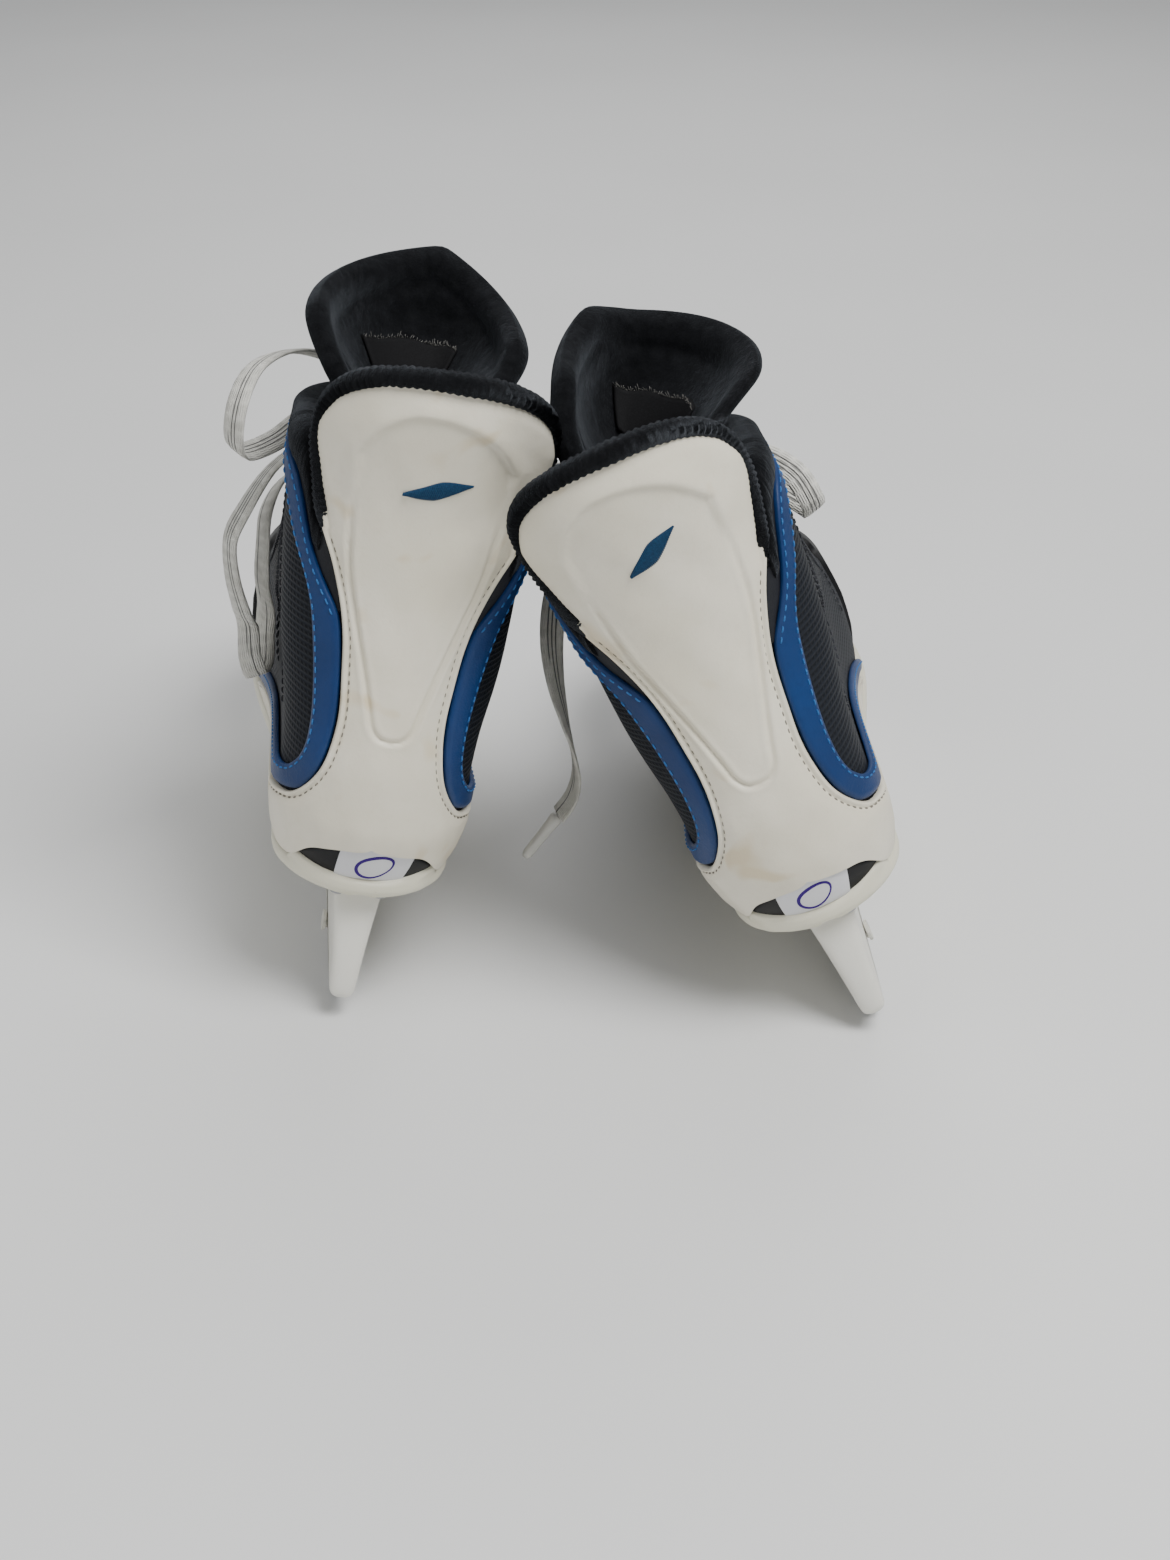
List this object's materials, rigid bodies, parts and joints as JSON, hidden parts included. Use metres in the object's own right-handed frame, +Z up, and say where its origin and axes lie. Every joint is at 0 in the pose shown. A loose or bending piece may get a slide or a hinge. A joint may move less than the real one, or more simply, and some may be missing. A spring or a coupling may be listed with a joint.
{
  "type": "ice skates",
  "caption": "Pair of junior hockey ice skates leaning together, with laced padded boots, flexing tendon guards, hinged tongues and steel runners in plastic holders.",
  "frame": {"origin": "on the ice under the middle of the pair's box, free laces aside", "axes": "+Y towards the toes, +X to the wearer's right, +Z up"},
  "size_m": [0.2332, 0.2676, 0.2368],
  "materials": {
    "steel": "ground steel edge",
    "bolts": "zinc plated",
    "holder_plastic": "white moulded plastic",
    "outsole": "cream moulded plastic",
    "board": "fibre board",
    "footbed_fabric": "brushed knit",
    "side_fabric": "navy ballistic weave",
    "blue_leather": "blue synthetic leather",
    "dark_leather": "dark synthetic leather",
    "toe_plastic": "moulded toe cap",
    "white_leather": "warm white smooth leather",
    "insert_black": "black insert",
    "counter_plastic": "stiffener",
    "liner_fabric": "padded liner knit",
    "black_felt": "black felt",
    "lace": "flat woven lace",
    "aglet": "clear white sleeve"
  },
  "bodies": {
    "left_boot": {"left_runner": "steel", "left_blade_holder": "holder_plastic", "left_runner_bolt_rear": "bolts", "left_runner_bolt_front": "bolts", "left_outsole": "outsole", "left_insole_board": "board", "left_footbed": "footbed_fabric", "left_quarter_lateral": "side_fabric", "left_band_lateral": "blue_leather", "left_eyestay_lateral": "dark_leather", "left_quarter_medial": "side_fabric", "left_band_medial": "blue_leather", "left_eyestay_medial": "dark_leather", "left_toe_cap": "toe_plastic", "left_heel_panel": "white_leather", "left_heel_insert": "insert_black", "left_heel_counter": "counter_plastic", "left_liner": "liner_fabric", "left_tongue": "black_felt", "left_lacing": "lace", "left_lace_knot": "lace", "left_lace_loop_lateral": "lace", "left_lace_end_lateral": "lace", "left_aglet_lateral": "aglet", "left_lace_loop_medial": "lace", "left_lace_end_medial": "lace", "left_aglet_medial": "aglet"},
    "left_guard": {"left_tendon_guard": "white_leather", "left_guard_lining": "black_felt"},
    "left_tongue_flap": {"left_tongue_top": "black_felt"},
    "right_boot": {"right_runner": "steel", "right_blade_holder": "holder_plastic", "right_runner_bolt_rear": "bolts", "right_runner_bolt_front": "bolts", "right_outsole": "outsole", "right_insole_board": "board", "right_footbed": "footbed_fabric", "right_quarter_lateral": "side_fabric", "right_band_lateral": "blue_leather", "right_eyestay_lateral": "dark_leather", "right_quarter_medial": "side_fabric", "right_band_medial": "blue_leather", "right_eyestay_medial": "dark_leather", "right_toe_cap": "toe_plastic", "right_heel_panel": "white_leather", "right_heel_insert": "insert_black", "right_heel_counter": "counter_plastic", "right_liner": "liner_fabric", "right_tongue": "black_felt", "right_lacing": "lace", "right_lace_knot": "lace", "right_lace_loop_lateral": "lace", "right_lace_end_lateral": "lace", "right_aglet_lateral": "aglet", "right_lace_loop_medial": "lace", "right_lace_end_medial": "lace", "right_aglet_medial": "aglet"},
    "right_guard": {"right_tendon_guard": "white_leather", "right_guard_lining": "black_felt"},
    "right_tongue_flap": {"right_tongue_top": "black_felt"}
  },
  "joints": [
    {"name": "left_guard_flex", "type": "hinge", "parent": "left_boot", "child": "left_guard", "pos_m": [-0.03824, -0.10762, 0.16507], "axis": [0.9733, 0.1109, -0.2011], "range_deg": [0, 15]},
    {"name": "left_tongue_flop", "type": "hinge", "parent": "left_boot", "child": "left_tongue_flap", "pos_m": [-0.0411, -0.03709, 0.19014], "axis": [-0.9733, -0.1109, 0.2011], "range_deg": [0, 25]},
    {"name": "right_guard_flex", "type": "hinge", "parent": "right_boot", "child": "right_guard", "pos_m": [0.03846, -0.12249, 0.15307], "axis": [0.9054, 0.0395, 0.4226], "range_deg": [0, 15]},
    {"name": "right_tongue_flop", "type": "hinge", "parent": "right_boot", "child": "right_tongue_flap", "pos_m": [0.02458, -0.05263, 0.17628], "axis": [-0.9054, -0.0395, -0.4226], "range_deg": [0, 25]},
    {"name": "right_skate_lift", "type": "slide", "parent": "left_boot", "child": "right_boot", "axis": [0.8, 0, 0.6], "range_m": [0, 0.25]}
  ]
}
